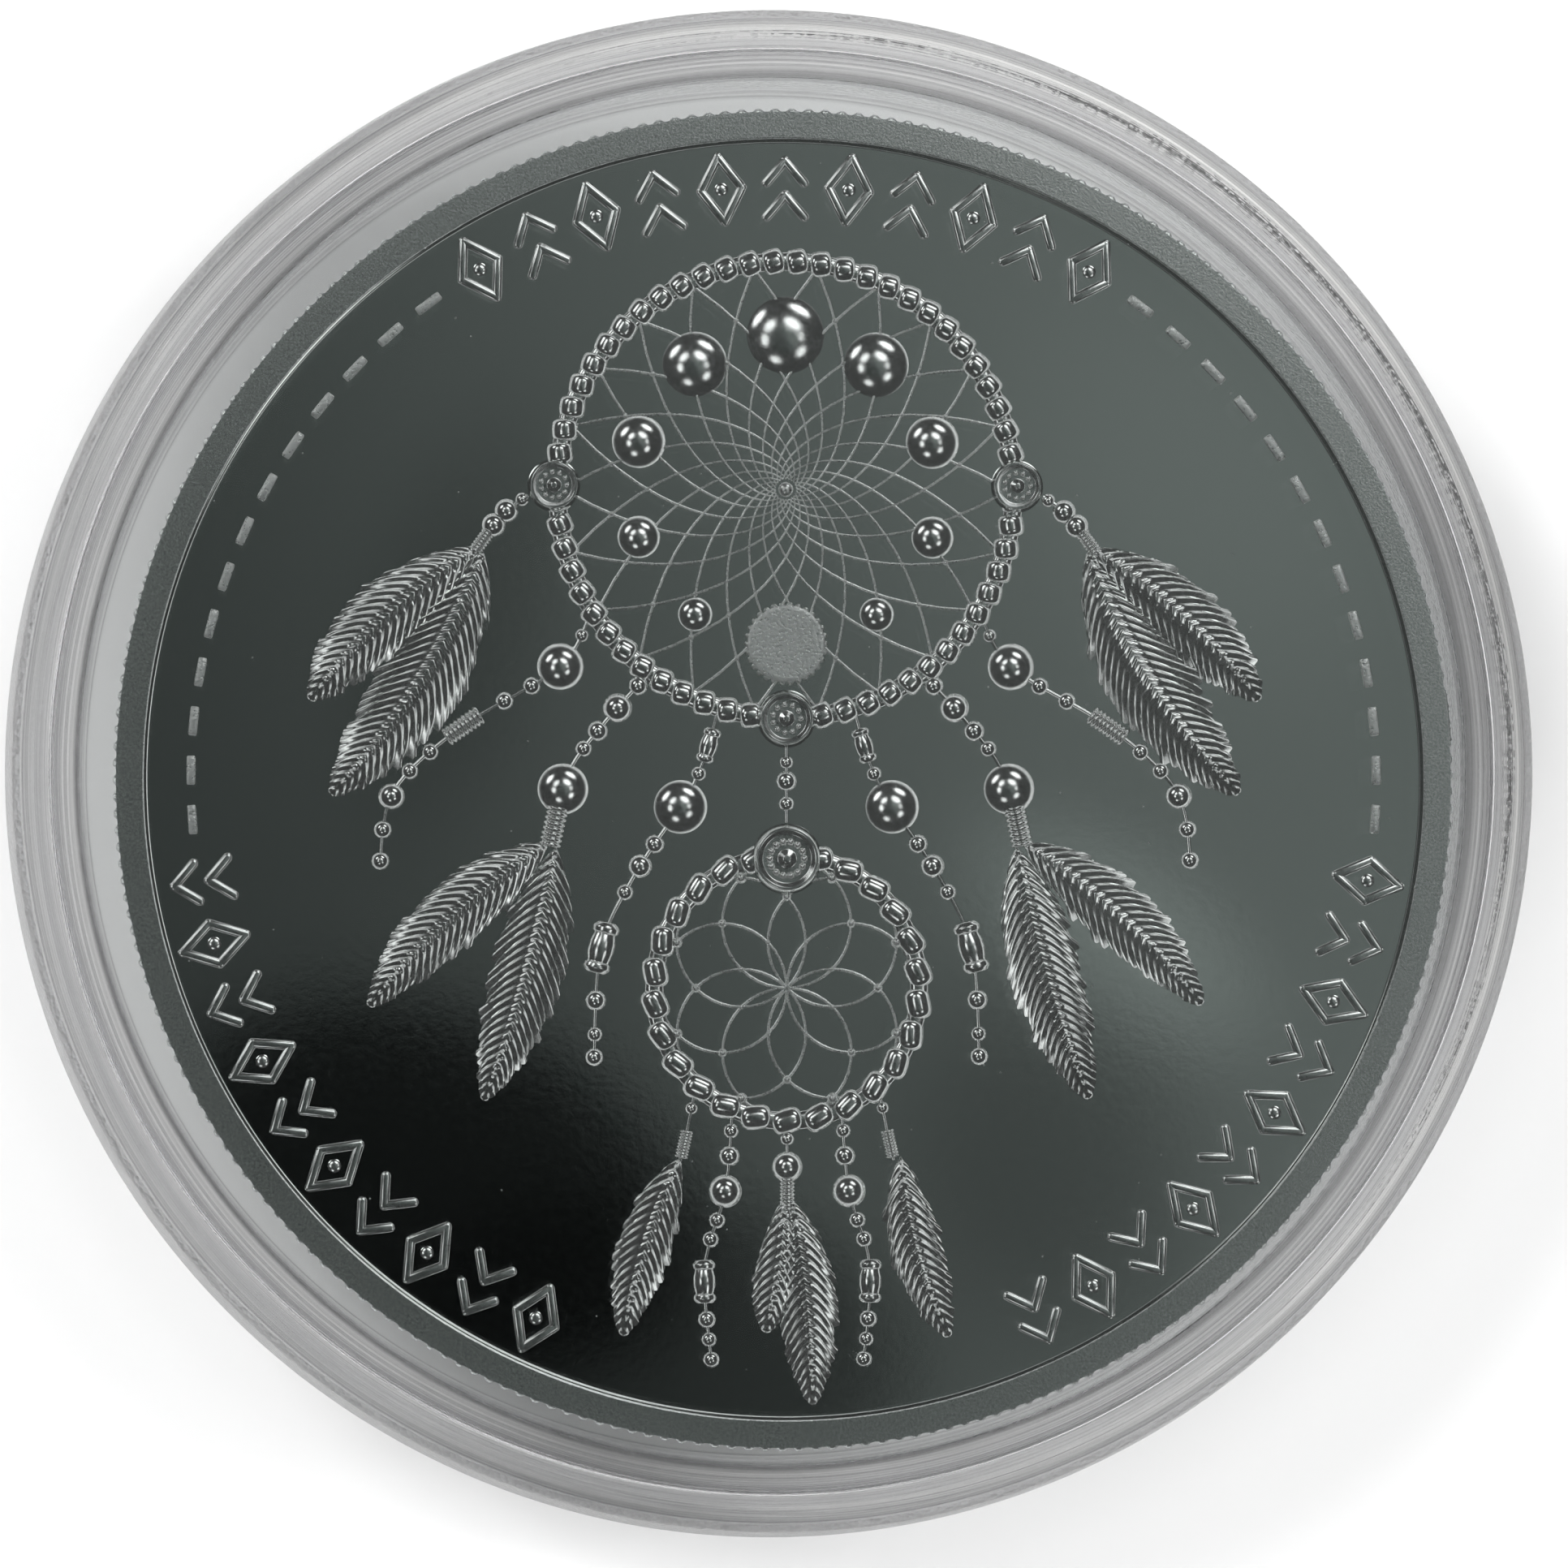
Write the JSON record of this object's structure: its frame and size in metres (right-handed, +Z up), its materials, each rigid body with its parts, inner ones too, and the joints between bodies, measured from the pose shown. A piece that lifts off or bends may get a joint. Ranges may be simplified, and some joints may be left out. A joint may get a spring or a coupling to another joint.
{
  "type": "coin capsule",
  "caption": "Round clear press-fit capsule holding a struck silver coin: a base with a seat wall, a lid that lifts off, and the coin between them.",
  "frame": {"origin": "middle of the capsule's underside, where it rests", "axes": "+Z up through the coin and out of the lid, +Y towards the top of the coin's design, +X to its right"},
  "size_m": [0.0448, 0.0448, 0.0061],
  "materials": {
    "base_acrylic": "polished",
    "lid_acrylic": "polished",
    "struck_silver": "polished"
  },
  "bodies": {
    "base": {"base_shell": "base_acrylic"},
    "lid": {"lid_shell": "lid_acrylic"},
    "coin": {"coin": "struck_silver"}
  },
  "joints": [
    {"name": "lid_lift", "type": "slide", "parent": "base", "child": "lid", "axis": [0, 0, 1], "range_m": [0, 0.02]},
    {"name": "coin_lift", "type": "slide", "parent": "base", "child": "coin", "axis": [0, 0, 1], "range_m": [0, 0.01]}
  ],
  "couplings": [
    {"joint": "coin_lift", "follows": "lid_lift", "ratio": 0.5}
  ]
}
